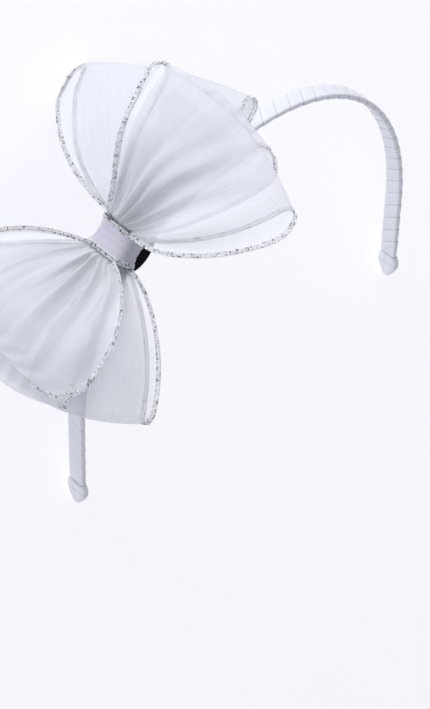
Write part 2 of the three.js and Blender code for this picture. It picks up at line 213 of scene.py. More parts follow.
class HeadbandSizes(bpy.types.PropertyGroup):
    """Sizes that a maker would change."""

    loop_reach: FloatProperty(
        name="Loop reach", description="From the knot to the corners of the folds",
        default=0.055, unit="LENGTH",
    )
    loop_rise: FloatProperty(
        name="Loop rise", description="Height that the loops open to over the band",
        default=0.018, unit="LENGTH",
    )
    loop_droop: FloatProperty(
        name="Loop droop", description="How far the loops' folds sink",
        default=0.005, unit="LENGTH",
    )
    pleat_depth: FloatProperty(
        name="Pleat depth", description="Depth of the fine pleats that leave the knot",
        default=0.0013, unit="LENGTH",
    )
    turn_pitch: FloatProperty(
        name="Turn pitch", description="Distance between the laps of the wound satin",
        default=0.0056, unit="LENGTH",
    )
    turn_slant: FloatProperty(
        name="Turn slant", description="How far a lap runs along the band as it crosses it",
        default=0.0042, unit="LENGTH",
    )
    edging_width: FloatProperty(
        name="Edging width", description="Width of the silver edging",
        default=0.0012, unit="LENGTH",
    )
    edging_stitch: FloatProperty(
        name="Edging stitch", description="Length of one stitch of the silver edging",
        default=0.0015, unit="LENGTH",
    )
    edging_thread: FloatProperty(
        name="Edging thread", description="Diameter of the silver thread",
        default=0.0003, unit="LENGTH",
    )
    ribbon_width: FloatProperty(
        name="Ribbon width", description="Width of the organza before it was gathered",
        default=0.057, unit="LENGTH",
    )
    narrow_width: FloatProperty(
        name="Narrow ribbon width", description="Width of the middle tier's organza",
        default=0.038, unit="LENGTH",
    )
    strand_sides: IntProperty(
        name="Thread sides", description="Faces round a silver thread", default=5, min=3,
    )


class HeadbandColours(bpy.types.PropertyGroup):
    """Colours that a maker would change."""

    satin: FloatVectorProperty(
        name="Satin", description="Wound ribbon and end caps", subtype="COLOR",
        size=3, default=(0.82, 0.83, 0.92), min=0, max=1,
    )
    organza: FloatVectorProperty(
        name="Organza", description="Sheer ribbon of the bow", subtype="COLOR",
        size=3, default=(0.76, 0.768, 0.855), min=0, max=1,
    )
    # Painted shade: the centre wrap's organza is coloured darker than the loops' to paint the shade on
    # the knot
    wrap: FloatVectorProperty(
        name="Wrap", description="Folded organza of the centre wrap", subtype="COLOR",
        size=3, default=(0.54, 0.535, 0.635), min=0, max=1,
    )
    silver: FloatVectorProperty(
        name="Silver", description="Metallic thread of the edging", subtype="COLOR",
        size=3, default=(0.84, 0.85, 0.9), min=0, max=1,
    )
    felt: FloatVectorProperty(
        name="Felt", description="Pad under the bow", subtype="COLOR",
        size=3, default=(0.006, 0.006, 0.007), min=0, max=1,
    )
    floor: FloatVectorProperty(
        name="Floor", description="Pale table top", subtype="COLOR",
        size=3, default=(0.95, 0.955, 0.98), min=0, max=1,
    )


def sizes():
    return bpy.context.scene.headband_sizes


def colours():
    return bpy.context.scene.headband_colours


# The arch


def lerp(start, end, share):
    return start + (end - start) * share


def unit(vectors):
    """Vectors divided by their lengths."""
    return vectors / np.linalg.norm(vectors, axis=-1, keepdims=True)


def arch_points(sweep):
    """The arch at shares of its sweep: straight legs, then x = side * span * sin^(2/n)
    and y = rise * cos^(2/n) of the turn from the crown, an oval of fullness n."""
    side = np.where(sweep < 0.5, -1.0, 1.0)
    from_end = np.minimum(sweep, 1 - sweep)
    turn = np.pi / 2 * np.clip((0.5 - from_end) / (0.5 - LEG_SWEEP), 0, 1)
    swell = 2 / ARCH_FULLNESS
    in_leg = from_end < LEG_SWEEP
    x = side * ARCH_HALF_SPAN * np.where(in_leg, 1, np.sin(turn) ** swell)
    y = np.where(
        in_leg,
        -LEG_LENGTH * (1 - from_end / LEG_SWEEP),
        ARCH_CROWN_RISE * np.abs(np.cos(turn)) ** swell,
    )
    return np.stack([x, y, np.zeros_like(x)], -1)


SWEEP = np.linspace(0, 1, 6001)
ARCH = arch_points(SWEEP)
ARCH_RUN = np.concatenate([[0], np.cumsum(np.linalg.norm(np.diff(ARCH, axis=0), axis=1))])
ARCH_LENGTH = ARCH_RUN[-1]


def arch_frame(distance):
    """Place, direction and outward side of the arch at distances from its right end."""
    distance = np.clip(distance, 0, ARCH_LENGTH)

    def place(run):
        return np.stack([np.interp(run, ARCH_RUN, ARCH[:, axis]) for axis in range(3)], -1)

    step = 0.4
    low = np.clip(distance - step, 0, ARCH_LENGTH)
    high = np.clip(distance + step, 0, ARCH_LENGTH)
    along = unit(place(high) - place(low))
    outward = np.stack([-along[..., 1], along[..., 0], np.zeros_like(distance)], -1)
    return place(distance), along, outward


def beside_arch(distance, across, out):
    """Points beside the arch; across counts to the wearer's front."""
    point, _, outward = arch_frame(distance)
    front = np.array([0.0, 0.0, 1.0])
    return point + outward * np.asarray(out)[..., None] + front * np.asarray(across)[..., None]


KNOT_SWEEP = 0.5 - (0.5 - LEG_SWEEP) * KNOT_ANGLE / 90
KNOT_DISTANCE = float(np.interp(KNOT_SWEEP, SWEEP, ARCH_RUN))
KNOT_PLACE, KNOT_ALONG, KNOT_OUTWARD = arch_frame(np.array(KNOT_DISTANCE))
PAD_FLOOR = STRIP_THICKNESS / 2 + TURN_STEP + FIT_GAP
PAD_TOP = PAD_FLOOR + PAD_THICKNESS
KNOT_FLOOR = PAD_TOP + FIT_GAP
LAYER_PITCH = GATHERED_WALL + FIT_GAP
LOWEST_LAYER = (
    KNOT_FLOOR + KNOT_SADDLE + KNOT_WALL + FIT_GAP + GATHERED_WALL / 2 + PINCH_ARCH
    + PLEAT_DEPTH
)
PINCH_END = KNOT_LENGTH / 2 + 2 * FIT_GAP


def from_knot(along, rearward, out):
    """Points at distances from the knot along the band, to the rear and outward."""
    rear = np.array([0.0, 0.0, -1.0])
    return (
        KNOT_PLACE
        + KNOT_ALONG * np.asarray(along)[..., None]
        + rear * np.asarray(rearward)[..., None]
        + KNOT_OUTWARD * np.asarray(out)[..., None]
    )


def at_rest(points):
    """Millimetres in the arch's frame to metres in the frame of the part."""
    x, y, z = points[..., 0], points[..., 1], points[..., 2]
    cos, sin = np.cos(REST_TILT), np.sin(REST_TILT)
    laid = np.stack([x, y * cos - z * sin, y * sin + z * cos], -1)
    return (laid + REST_SHIFT) * MM


# Meshes


def surface(name, grid, wrap_rows=False, wrap_columns=False, chart=None, painted_shading=None, flip=False):
    """A mesh from a grid of points, row by row, closed round where asked. The chart is
    a place on the flat cloth for each corner of the grid, in metres, with one more row
    or column where the grid closes. Painted shading is a number for each point: how
    much painted shade or painted light the finish puts into the colour there."""
    rows, columns = grid.shape[:2]
    last_row = rows if wrap_rows else rows - 1
    last_column = columns if wrap_columns else columns - 1
    row, column = np.meshgrid(np.arange(last_row), np.arange(last_column), indexing="ij")
    corner_rows = np.stack([row, row, row + 1, row + 1], -1).reshape(-1, 4)
    corner_columns = np.stack([column, column + 1, column + 1, column], -1).reshape(-1, 4)
    if flip:
        corner_rows = corner_rows[:, ::-1]
        corner_columns = corner_columns[:, ::-1]
    faces = (corner_rows % rows) * columns + corner_columns % columns
    mesh = bpy.data.meshes.new(name)
    mesh.from_pydata(grid.reshape(-1, 3).tolist(), [], faces.tolist())
    if chart is not None:
        layer = mesh.uv_layers.new(name="cloth")
        places = chart[corner_rows, corner_columns]
        layer.data.foreach_set("uv", places.reshape(-1).astype(np.float32))
    if painted_shading is not None:
        layer = mesh.attributes.new("painted_shading", "FLOAT", "POINT")
        layer.data.foreach_set("value", painted_shading.reshape(-1).astype(np.float32))
    return shown(name, mesh)


def shown(name, mesh):
    """Puts a mesh into the scene as a smooth piece at the origin."""
    mesh.validate()
    mesh.update()
    mesh.shade_smooth()
    piece = bpy.data.objects.new(name, mesh)
    bpy.context.scene.collection.objects.link(piece)
    return piece


def thread(path, radius, sides, side_hint):
    """A round thread along a closed path: rings of the radius, square to the path. It
    lies on the table where the path would dip into it."""
    path[:, 2] = np.maximum(path[:, 2], radius)
    ahead = unit(np.roll(path, -1, 0) - np.roll(path, 1, 0))
    first = unit(np.cross(ahead, side_hint))
    second = np.cross(ahead, first)
    turn = np.linspace(0, 2 * np.pi, sides, endpoint=False)
    ring = first[:, None] * np.cos(turn)[None, :, None]
    ring = ring + second[:, None] * np.sin(turn)[None, :, None]
    return path[:, None] + ring * radius


def closed_grids(name, grids):
    """One mesh from several grids that close round both ways."""
    points = []
    faces = []
    first = 0
    for grid in grids:
        rows, columns = grid.shape[:2]
        row, column = np.meshgrid(np.arange(rows), np.arange(columns), indexing="ij")
        next_row, next_column = (row + 1) % rows, (column + 1) % columns
        quads = np.stack(
            [
                row * columns + column,
                row * columns + next_column,
                next_row * columns + next_column,
                next_row * columns + column,
            ],
            -1,
        )
        faces.append(quads.reshape(-1, 4) + first)
        points.append(grid.reshape(-1, 3))
        first += rows * columns
    mesh = bpy.data.meshes.new(name)
    mesh.from_pydata(np.concatenate(points).tolist(), [], np.concatenate(faces).tolist())
    return shown(name, mesh)


def even_path(path, side, count):
    """A closed path and the direction beside it, taken again at equal distances."""
    closed = np.concatenate([path, path[:1]])
    sides = np.concatenate([side, side[:1]])
    run = np.concatenate([[0], np.cumsum(np.linalg.norm(np.diff(closed, axis=0), axis=1))])
    places = np.linspace(0, run[-1], count, endpoint=False)
    again = np.stack([np.interp(places, run, closed[:, axis]) for axis in range(3)], -1)
    beside = np.stack([np.interp(places, run, sides[:, axis]) for axis in range(3)], -1)
    return again, unit(beside)


def edging_threads(path, inward):
    """Silver threads along a ribbon's edge: two cross over each other, their offsets
    sines of the run, a wavy one runs along the rim and a straight one inside."""
    size = sizes()
    closed = np.concatenate([path, path[:1]])
    length = np.linalg.norm(np.diff(closed, axis=0), axis=1).sum()
    stitches = int(round(length / size.edging_stitch))
    steps = stitches * STITCH_STEPS
    places, side = even_path(path, inward, steps)
    phase = 2 * np.pi * np.arange(steps) / STITCH_STEPS
    ahead = unit(np.roll(places, -1, 0) - np.roll(places, 1, 0))
    above = unit(np.cross(ahead, side))
    side = unit(np.cross(above, ahead))
    half = size.edging_width / 2
    radius = size.edging_thread / 2
    grids = []
    for start in (0, np.pi):
        swing = np.sin(phase + start)
        lift = np.cos(2 * (phase + start)) * radius * 0.9 * np.sign(np.pi / 2 - start)
        line = places + side * (swing * half)[:, None] + above * lift[:, None]
        grids.append(thread(line, radius, size.strand_sides, above))
    rim = places - side * (half * (0.9 + 0.25 * np.cos(2 * phase)))[:, None]
    grids.append(thread(rim, radius * 0.8, size.strand_sides, above))
    inner = places + side * (half * 0.8)
    grids.append(thread(inner, radius * 0.7, size.strand_sides, above))
    return grids


# Ribbon shapes


def nearer(row, name, across, middle):
    """A value that goes from the middle's to that of the nearer corner with the cube
    of the place across."""
    corner = np.where(across > 0, row["rear"][name], row["front"][name])
    return lerp(middle, corner, np.abs(across) ** 3)


def loop_points(index, is_upper, run, across, turn):
    """Ribbon of one loop. An edge runs from the pinched knot along a chord to its
    corner of the fold and swings out by 4 s (1 - s). The height goes from the layer
    under the hollow to the layer over it with the sine of the turn round the fold,
    plus pleats that fade from the knot and ripples over the hollow."""
    size = sizes()
    reach = size.loop_reach / MM
    tier = TIERS[index]
    row = tier["upper" if is_upper else "lower"]
    way = 1 if is_upper else -1

    over = (1 + np.sin(np.radians(turn))) / 2

    def corner(side):
        angle = np.radians(side["angle"] + side["swing"] * (over - 0.5))
        return np.stack([way * np.cos(angle), np.sin(angle)], -1) * side["reach"] * reach

    rear = corner(row["rear"])
    front = corner(row["front"])
    middle = (rear + front) / 2
    swell = unit(middle) * row["bulge"] * reach
    fold = middle + (rear - front) * across[..., None] / 2 + swell * (1 - across[..., None] ** 2)
    share = run * (1 - nearer(row, "round", across, FOLD_DEPTH) * (1 - np.cos(np.radians(turn))))
    start = np.stack([np.full_like(across, way * PINCH_END), across * PINCH_WIDTH / 2], -1)
    chord = fold - start
    sideways = np.stack([-way * chord[..., 1], way * chord[..., 0]], -1)
    bows = [lerp(row[side]["under"], row[side]["over"], over) for side in ("rear", "front")]
    bow = np.where(across > 0, bows[0], bows[1]) * across
    place = start + chord * share[..., None]
    place = place + sideways * (bow * 4 * share * (1 - share))[..., None]

    beyond_end = np.maximum(np.abs(place[..., 0]) - PINCH_END, 0)
    beyond_side = np.maximum(np.abs(place[..., 1]) - PINCH_WIDTH / 2, 0)
    spread = np.hypot(beyond_end, beyond_side) / (reach - PINCH_END)
    opened = np.sin(np.pi / 2 * np.minimum(spread / OPEN_SHARE, 1)) ** OPEN_EASE
    lift = opened * size.loop_rise / MM
    parting = index * TIER_PARTING * np.minimum(spread / PART_SHARE, 1)
    lowest = LOWEST_LAYER + 2 * index * LAYER_PITCH + index * (TIER_GAP - FIT_GAP)
    floor = lowest + parting + tier["floor"] * lift
    roof = lowest + LAYER_PITCH + parting + tier["roof"] * lift
    closing = CLOSE_SHARE * share**3 * (roof - floor)
    height = lerp(floor + closing, roof - closing, over)
    gather = -PINCH_ARCH * across**2 + PLEAT_DEPTH * np.cos(PLEAT_COUNT * np.pi * across)
    pleats = gather * (1 - share) ** PLEAT_FADE + fine_pleats(index, share, across, over)
    ripple = tier["ripple_depth"] * np.sin(tier["ripples"] * np.pi * across + index)
    ripple = ripple * np.sin(np.pi * share) ** 2 * over
    droop = size.loop_droop / MM * spread**2
    return from_knot(place[..., 0], place[..., 1], height - droop + pleats + ripple)


def fine_pleats(index, share, across, over):
    """Pleats that leave the wrap: a few broad ones and narrow ones between them, each
    rising and fading as x exp(1 - x) of the distance over its peak's distance, and soft
    creases that run on over the loop as rounded cosine ridges."""
    depth = sizes().pleat_depth / MM
    drift = across + 0.07 * np.sin(5.1 * across + 0.6) + 0.1 * share * np.sin(4 * across + index)
    bunch = 1 + 0.45 * np.sin(3.7 * across + 1.1 * index)
    broad_away = share / (1.6 * PLEAT_PEAK)
    narrow_away = share / (0.8 * PLEAT_PEAK)
    broad = np.cos(BROAD_COUNT * np.pi * drift + 0.9) * broad_away * np.exp(1 - broad_away)
    narrow = np.cos(NARROW_COUNT * np.pi * drift + index) * narrow_away * np.exp(1 - narrow_away)
    near = BROAD_DEPTH * broad + NARROW_DEPTH * bunch * narrow
    wander = 0.5 * np.sin(2.3 * across + 1.7 * index)
    creases = np.cos(CREASE_COUNT * np.pi * across + wander * 4 + index)
    fade = np.sin(np.pi * np.clip(share * 1.05, 0, 1)) ** 1.5 * (1 - 0.45 * share)
    edge = 1 - across**8
    far = CREASE_DEPTH * creases * fade * lerp(0.5, 1, over)
    return depth * (near + far) * edge


def loop_stations(is_upper):
    """Runs and turns of the rows of one loop: out along the layer under the hollow,
    round the fold and back along the layer over it."""
    out = np.linspace(0, 1, LAYER_ROWS)
    turn = np.linspace(-90, 90, FOLD_ROWS + 2)[1:-1]
    run = np.concatenate([out, np.ones(FOLD_ROWS), out[::-1]])
    turns = np.concatenate([np.full(LAYER_ROWS, -90.0), turn, np.full(LAYER_ROWS, 90.0)])
    return (run, turns) if is_upper else (run[::-1], turns[::-1])


def tier_grid(index):
    """A ribbon ring: round the upper loop, over the knot, round the lower loop and
    back under the knot. Where it would reach below the table it lies on it."""
    eased = np.sin(np.pi / 2 * EDGE_EASE * np.linspace(-1, 1, TIER_COLUMNS))
    across = eased / eased[-1]
    grids = []
    for is_upper in (True, False):
        run, turn = loop_stations(is_upper)
        runs, places = np.meshgrid(run, across, indexing="ij")
        turns, _ = np.meshgrid(turn, across, indexing="ij")
        grids.append(loop_points(index, is_upper, runs, places, turns))
    grid = at_rest(np.concatenate(grids))
    grid[..., 2] = np.maximum(grid[..., 2], sizes().edging_thread)
    return grid, across


def ribbon_chart(grid, across, width):
    """Flat places of a ribbon ring: its width across, and the run of its middle."""
    middle = grid[:, grid.shape[1] // 2]
    closed = np.concatenate([middle, middle[:1]])
    run = np.concatenate([[0], np.cumsum(np.linalg.norm(np.diff(closed, axis=0), axis=1))])
    chart = np.empty((len(run), len(across), 2))
    chart[..., 0] = across * width / 2
    chart[..., 1] = run[:, None]
    return chart, float(run[-1])


# Finishes


class Signal:
    """A socket of a material. An expression on signals adds its Math nodes."""

    def __init__(self, tree, socket=None):
        self.tree = tree
        self.socket = socket

    def add(self, kind, sockets=None, output=0, stops=(), **settings):
        """Adds a node: settings first, then a ramp's stops, then its sockets."""
        node = self.tree.nodes.new(kind)
        for name, value in settings.items():
            setattr(node, name, value)
        for spare in range(len(stops) - 2):
            node.color_ramp.elements.new(0.5 + spare * 0.01)
        for element, (place, colour) in zip(node.color_ramp.elements if stops else (), stops):
            element.position = place
            element.color = colour
        for key, value in (sockets or {}).items():
            if isinstance(value, Signal):
                self.tree.links.new(value.socket, node.inputs[key])
            else:
                node.inputs[key].default_value = value
        return Signal(self.tree, node.outputs[output] if node.outputs else None)

    def math(self, operation, *values):
        return self.add("ShaderNodeMath", dict(enumerate(values)), operation=operation)

    def __add__(self, other):
        return self.math("ADD", self, other)

    __radd__ = __add__

    def __sub__(self, other):
        return self.math("SUBTRACT", self, other)

    def __rsub__(self, other):
        return self.math("SUBTRACT", other, self)

    def __mul__(self, other):
        return self.math("MULTIPLY", self, other)

    __rmul__ = __mul__

    def __pow__(self, other):
        return self.math("POWER", self, other)

    def wave(self, count):
        """Half of one plus the sine of the signal times the count."""
        return self.math("SINE", self * count) * 0.5 + 0.5

    def tint(self, low, high):
        """A colour between two, by the signal. The Mix node keeps its factor and its two
        colours at these places among its sockets, and the mixed colour too."""
        sockets = {0: self, 6: (*low, 1), 7: (*high, 1)}
        return self.add("ShaderNodeMix", sockets, output=2, data_type="RGBA")


def finish(name, constants, make):
    """A material with one Principled shader: constants sit on its sockets, and make
    returns what changes over the surface, by socket name."""
    material = bpy.data.materials.new(name)
    material.use_nodes = True
    tree = material.node_tree
    tree.nodes.clear()
    start = Signal(tree)
    changing = make(start)
    shader = start.add("ShaderNodeBsdfPrincipled", {**constants, **changing})
    start.add("ShaderNodeOutputMaterial", {"Surface": shader})
    return material


def colour(rgb, factor=1.0):
    return tuple(min(1.0, channel * factor) for channel in rgb)


def weave_of(start, pitch):
    """Warp and weft of a plain weave on the cloth's own flat places, 1 on a thread."""
    chart = start.add("ShaderNodeUVMap", uv_map="cloth")
    split = start.add("ShaderNodeSeparateXYZ", {0: chart}).socket.node
    return [Signal(start.tree, split.outputs[axis]).wave(2 * np.pi / pitch) for axis in (0, 1)]


def organza_finish(name, tone, clear, solid):
    """Sheer ribbon: a fine open weave, faintly streaked along its length, clearer
    between the threads, and paler near the knot, where painted light lifts the shade of
    the gathers."""

    def make(start):
        warp, weft = weave_of(start, ORGANZA_PITCH)
        open_part = (1 - warp) * (1 - weft)
        chart = start.add("ShaderNodeUVMap", uv_map="cloth")
        streak = start.add(
            "ShaderNodeMapping", {"Vector": chart, "Scale": (1400, 40, 1)}
        )
        streaks = start.add("ShaderNodeTexNoise", {"Vector": streak, "Scale": 1.0, "Detail": 3.0})
        cloud = start.add("ShaderNodeTexCoord", output=3)
        clouds = start.add("ShaderNodeTexNoise", {"Vector": cloud, "Scale": 90.0, "Detail": 2.0})
        alpha = (1 - open_part) * (solid - clear) + clear + (streaks - 0.5) * 0.1
        alpha = alpha + (clouds - 0.5) * 0.08
        bump = start.add(
            "ShaderNodeBump",
            {"Strength": 0.15, "Distance": 0.0001, "Height": warp + weft + streaks},
        )
        # Painted light: the colour is made paler near the knot, where the gathers lie in shade
        knot_painted_light = start.add("ShaderNodeAttribute", output=2, attribute_name="painted_shading")
        shade = streaks * 0.18 + clouds * 0.12 + knot_painted_light * 0.7
        return {
            "Base Color": shade.tint(colour(tone, 0.96), colour(tone, 1.26)),
            "Alpha": alpha,
            "Roughness": 0.42 + streaks * 0.3,
            "Normal": bump,
        }

    constants = {
        "Metallic": 0.0,
        "Sheen Weight": 0.35,
        "Sheen Roughness": 0.35,
        "Specular IOR Level": 0.45,
    }
    return finish(name, constants, make)


def silver_finish():
    """Metallic thread: bright and dark glints, painted into its colour as painted highlights and
    painted reflections, one tone in each small cell of it.
    """
    tone = colours().silver

    def make(start):
        place = start.add("ShaderNodeTexCoord", output=3)
        glint = start.add(
            "ShaderNodeTexVoronoi", {"Vector": place, "Scale": 1500.0}, feature="F1",
        )
        cell = start.add(
            "ShaderNodeVectorMath", {0: place, 1: (0.0007, 0.0007, 0.0007)}, operation="SNAP",
        )
        fine = start.add("ShaderNodeTexWhiteNoise", {"Vector": cell})
        # Painted glints: each cell's colour is painted bright or dark, as highlights and dark
        # reflections of the metal
        ramp = start.add(
            "ShaderNodeValToRGB", {"Fac": fine},
            stops=(
                (0.0, (*colour(tone, 0.16), 1)),
                (0.12, (*colour(tone, 0.5), 1)),
                (0.24, (*colour(tone, 0.86), 1)),
                (1.0, (*colour(tone, 1.0), 1)),
            ),
        )
        bump = start.add(
            "ShaderNodeBump", {"Strength": 0.5, "Distance": 0.00015, "Height": glint},
        )
        return {"Base Color": ramp, "Roughness": 0.24 + fine * 0.3, "Normal": bump}

    return finish("silver_thread", {"Metallic": 0.45, "Specular IOR Level": 0.6}, make)


def satin_finish(name):
    """Satin ribbon: fine floats across the turns, a soft gloss and painted shade, greyer
    in the laps, creases and the hem's fold.
    """
    tone = colours().satin

    def make(start):
        warp = weave_of(start, SATIN_PITCH)[0]
        painted_shading = start.add("ShaderNodeAttribute", output=2, attribute_name="painted_shading")
        place = start.add("ShaderNodeTexCoord", output=3)
        cloud = start.add("ShaderNodeTexNoise", {"Vector": place, "Scale": 160.0, "Detail": 3.0})
        floats = start.add(
            "ShaderNodeMapping",
            {"Vector": start.add("ShaderNodeUVMap", uv_map="cloth"), "Scale": (250, 3500, 1)},
        )
        grain = start.add("ShaderNodeTexNoise", {"Vector": floats, "Scale": 1.0, "Detail": 2.0})
        bump = start.add(
            "ShaderNodeBump",
            {"Strength": 0.3, "Distance": 0.00012, "Height": warp * 0.5 + grain * 1.5},
        )
        # Painted shade: the satin's colour darkens where the painted shading is high, at laps, creases
        # and the hem's fold
        shade = painted_shading * 0.75 + cloud * 0.15 + grain * 0.1
        return {
            "Base Color": shade.tint(colour(tone, 1.04), colour(tone, 0.66)),
            "Roughness": 0.3 + grain * 0.2 + painted_shading * 0.15,
            "Normal": bump,
        }

    constants = {"Sheen Weight": 0.3, "Sheen Roughness": 0.3, "Specular IOR Level": 0.55}
    return finish(name, constants, make)


def felt_finish():
    """Felt: matt black with a faint nap of paler fibres."""
    tone = colours().felt

    def make(start):
        place = start.add("ShaderNodeTexCoord", output=3)
        fibres = start.add("ShaderNodeTexNoise", {"Vector": place, "Scale": 2600.0, "Detail": 4.0})
        patches = start.add("ShaderNodeTexNoise", {"Vector": place, "Scale": 300.0, "Detail": 2.0})
        bump = start.add(
            "ShaderNodeBump", {"Strength": 0.6, "Distance": 0.0002, "Height": fibres + patches},
        )
        shade = (fibres * 0.7 + patches * 0.3) ** 2
        return {
            "Base Color": shade.tint(tone, colour(tone, 4)),
            "Roughness": 0.8 + fibres * 0.2,
            "Normal": bump,
        }

    return finish("black_felt", {"Sheen Weight": 0.1, "Specular IOR Level": 0.2}, make)


def dressed(piece, material, slot, *nodes):
    """Gives a piece its finish and the solids that it stands for. The slot is not used."""
    piece.data.materials.append(material)
    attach(piece, "root")
    if nodes:
        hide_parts(*nodes)
    return piece


# One operator for each piece or group of like pieces


class HEADBAND_OT_wound_band(bpy.types.Operator):
    """Wind the strip in satin: each turn is a shade thicker than the strip, swells in
    its middle and sinks where the next turn laps it, along slanted laps"""

    bl_idname = "headband.wound_band"
    bl_label = "Wound band"

    def execute(self, context):
        size = sizes()
        slant = size.turn_slant / MM
        wound = ARCH_LENGTH - 2 * CAP_LENGTH
        turns = int(round(wound / (size.turn_pitch / MM)))
        rows = turns * TURN_ROWS
        distance = np.linspace(0, wound, rows + 1)
        section, travel = strip_section(STRIP_WIDTH, STRIP_THICKNESS, 8)
        phase = distance * turns / wound
        along, points = np.meshgrid(distance, np.arange(len(section)), indexing="ij")
        across, out = section[points, 0], section[points, 1]
        from_end = np.clip(np.minimum(along, wound - along) / slant, 0, 1)
        turn_share = (phase % 1.0)[:, None]
        past_lap = np.clip(turn_share / LAP_SHARE, 0, 1)
        proud = TURN_STEP * (1 - turn_share) * past_lap
        proud = proud + 0.05 * np.sin(np.pi * turn_share)
        shift = -slant * from_end * across / STRIP_WIDTH
        grow = proud * from_end.clip(0.2, 1)
        away = unit(np.stack([across / STRIP_WIDTH, out / STRIP_THICKNESS], -1))
        shape = beside_arch(
            CAP_LENGTH + along + shift, across + away[..., 0] * grow, out + away[..., 1] * grow,
        )
        # Painted shade: the satin is coloured darker at the lap line where each turn starts, as it
        # sinks towards the next turn, and along two creases in each turn
        sink_shade = np.clip((turn_share - SINK_START) / (1 - SINK_START), 0, 1) * 0.6
        crease = sum(
            grey * np.exp(-(((turn_share - at) / wide) ** 2)) for at, wide, grey in TURN_CREASE_SHADES
        )
        painted_shading = np.broadcast_to(np.maximum(1 - past_lap, sink_shade) + crease, shape.shape[:2])
        chart = np.empty((rows + 1, len(section) + 1, 2))
        chart[..., 0] = (distance * MM)[:, None]
        chart[..., 1] = travel * MM
        piece = surface(
            "satin_winding", at_rest(shape), wrap_columns=True, chart=chart, painted_shading=painted_shading,
        )
        close_ends(piece, rows + 1, len(section))
        dressed(piece, satin_finish("wound_satin"), "satin", "wound_band")
        return {"FINISHED"}


def strip_section(width, thickness, corner_steps):
    """Round the strip's section: flat faces joined by quarter circles, and the
    distance travelled round it from the first point back to it."""
    corner = min(STRIP_CORNER * 1.2, thickness / 2 - 0.02)
    side, face = width / 2 - corner, thickness / 2 - corner
    arcs = []
    for quarter, (x, y) in enumerate([(side, face), (-side, face), (-side, -face), (side, -face)]):
        turn = np.linspace(0, np.pi / 2, corner_steps) + quarter * np.pi / 2
        arcs.append(np.stack([x + corner * np.cos(turn), y + corner * np.sin(turn)], -1))
        if quarter in (0, 2):
            share = np.linspace(0, 1, 10)[1:-1, None]
            start = arcs[-1][-1]
            end = np.array([-x, y]) + corner * np.array([0, np.sign(y)])
            arcs.append(lerp(start, end, share))
    section = np.concatenate(arcs)
    closed = np.concatenate([section, section[:1]])
    travel = np.concatenate([[0], np.cumsum(np.linalg.norm(np.diff(closed, axis=0), axis=1))])
    return section, travel


def close_ends(piece, rows, columns):
    """Closes the two open ends of a tube of rings with one flat face each."""
    shell = bmesh.new()
    shell.from_mesh(piece.data)
    shell.verts.ensure_lookup_table()
    first = [shell.verts[corner] for corner in range(columns)]
    last = [shell.verts[(rows - 1) * columns + corner] for corner in range(columns)]
    shell.faces.new(first[::-1])
    shell.faces.new(last)
    bmesh.ops.recalc_face_normals(shell, faces=shell.faces)
    shell.to_mesh(piece.data)
    shell.free()


class HEADBAND_OT_end_caps(bpy.types.Operator):
    """Fold the satin caps over both ends: a pointed leaf shape with a shallow crease
    down its middle and a folded hem"""

    bl_idname = "headband.end_caps"
    bl_label = "End caps"

    def execute(self, context):
        material = satin_finish("folded_satin")
        reach = CAP_LENGTH - FIT_GAP
        place = np.sin(np.linspace(0, 1, 40) * np.pi / 2) ** 2
        leaf = np.interp(place, CAP_PLACES, CAP_WIDTHS)
        depth = np.interp(place, CAP_PLACES, CAP_DEPTHS)
        section, travel = strip_section(2, 2, 7)
        for node, is_left in (("end_cap_right", False), ("end_cap_left", True)):
            across = section[None, :, 0] * leaf[:, None] * CAP_WIDTH / 2
            out = section[None, :, 1] * depth[:, None] * CAP_THICKNESS / 2
            dent = 0.16 * np.exp(-((across / 0.35) ** 2)) * np.sin(np.pi * place)[:, None]
            fold = HEM_DEPTH * np.exp(-(((place - HEM_PLACE) / 0.03) ** 2))[:, None]
            out = out - np.sign(out) * (dent + fold) * (np.abs(out) > 0.4)
            from_end = np.broadcast_to(place[:, None] * reach, across.shape)
            distance = ARCH_LENGTH - from_end if is_left else from_end
            grid = at_rest(beside_arch(distance, across, out))
            chart = np.empty((len(place), len(section) + 1, 2))
            chart[..., 0] = (place * reach * MM)[:, None]
            chart[..., 1] = travel * MM * 2
            # Painted shade: the cap's satin is coloured darker along the hem's fold
            painted_shading = np.broadcast_to(fold / HEM_DEPTH * 0.7, across.shape)
            piece = surface(
                f"folded_{node}", grid, wrap_columns=True, chart=chart, painted_shading=painted_shading,
            )
            close_ends(piece, len(place), len(section))
            dressed(piece, material, "satin", node)
        return {"FINISHED"}


class HEADBAND_OT_felt_pad(bpy.types.Operator):
    """Cut the oval felt pad that the bow sits on: an ellipse bent round the arch, a
    little thicker in the middle, with a soft rounded rim"""

    bl_idname = "headband.felt_pad"
    bl_label = "Felt pad"

    def execute(self, context):
        turn = np.linspace(0, 2 * np.pi, 72, endpoint=False)
        rim = np.linspace(0, np.pi, 25)
        radius = np.sin(rim) ** 0.45
        height = np.cos(rim)
        height = np.sign(height) * np.abs(height) ** 0.9 * PAD_THICKNESS / 2
        angle, far = np.meshgrid(turn, radius, indexing="ij")
        along = far * np.cos(angle) * PAD_LENGTH / 2
        across = far * np.sin(angle) * PAD_WIDTH / 2
        middle = (PAD_FLOOR + PAD_TOP) / 2
        out = middle + np.broadcast_to(height, along.shape)
        grid = at_rest(beside_arch(KNOT_DISTANCE + along, across, out))
        piece = surface("felt_pad", grid, wrap_rows=True)
        merged(piece)
        dressed(piece, felt_finish(), "felt", "bow_backing")
        return {"FINISHED"}


def merged(piece):
    """Joins the points that meet at poles and turns every face outward."""
    shell = bmesh.new()
    shell.from_mesh(piece.data)
    bmesh.ops.remove_doubles(shell, verts=shell.verts, dist=1e-7)
    bmesh.ops.recalc_face_normals(shell, faces=shell.faces)
    shell.to_mesh(piece.data)
    shell.free()


